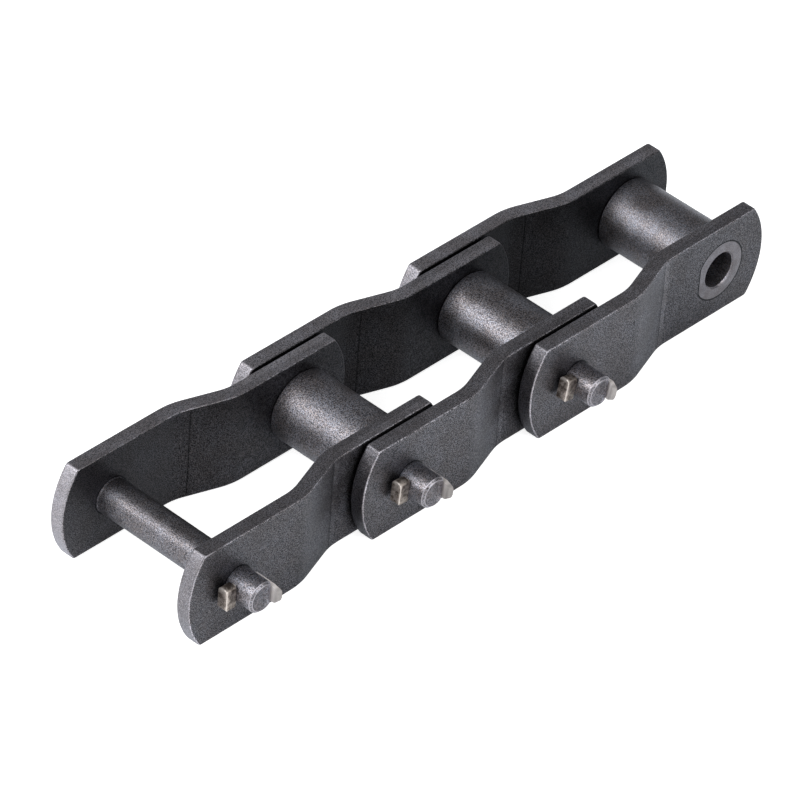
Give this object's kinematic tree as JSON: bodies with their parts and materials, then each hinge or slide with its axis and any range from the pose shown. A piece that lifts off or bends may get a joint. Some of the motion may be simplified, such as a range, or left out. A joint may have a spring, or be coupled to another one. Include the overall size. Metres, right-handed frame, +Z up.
{
  "type": "water treatment chain",
  "caption": "Steel chain strand with cranked side bars, shouldered bushes and headed pins, each pin locked by a flat bent cotter.",
  "frame": {"origin": "middle of the open bush's bore, at the end where the narrow bar ends are", "axes": "X along the chain, the links following towards -X; Y along the pins, with the cotters on -Y; Z up, across the bars' height"},
  "size_m": [0.2352, 0.0703, 0.031],
  "materials": {
    "side_bar": "dark blasted heat-treated steel, satin",
    "bush": "blasted heat-treated steel, slightly brighter than the bars",
    "pin": "blasted heat-treated steel, satin",
    "cotter": "bare stainless steel, smooth"
  },
  "bodies": {
    "link_1": {"link_1_near_bar": "side_bar", "link_1_far_bar": "side_bar", "link_1_bush": "bush", "link_1_pin": "pin", "link_1_cotter": "cotter"},
    "link_2": {"link_2_near_bar": "side_bar", "link_2_far_bar": "side_bar", "link_2_bush": "bush", "link_2_pin": "pin", "link_2_cotter": "cotter"},
    "link_3": {"link_3_near_bar": "side_bar", "link_3_far_bar": "side_bar", "link_3_bush": "bush", "link_3_pin": "pin", "link_3_cotter": "cotter"}
  },
  "joints": [
    {"name": "pin_3_hinge", "type": "hinge", "parent": "link_3", "child": "link_2", "pos_m": [-0.06627, 0, 0], "axis": [0, 1, 0], "range_deg": [-100, 100]},
    {"name": "pin_2_hinge", "type": "hinge", "parent": "link_2", "child": "link_1", "pos_m": [-0.13254, 0, 0], "axis": [0, 1, 0], "range_deg": [-100, 100]}
  ]
}
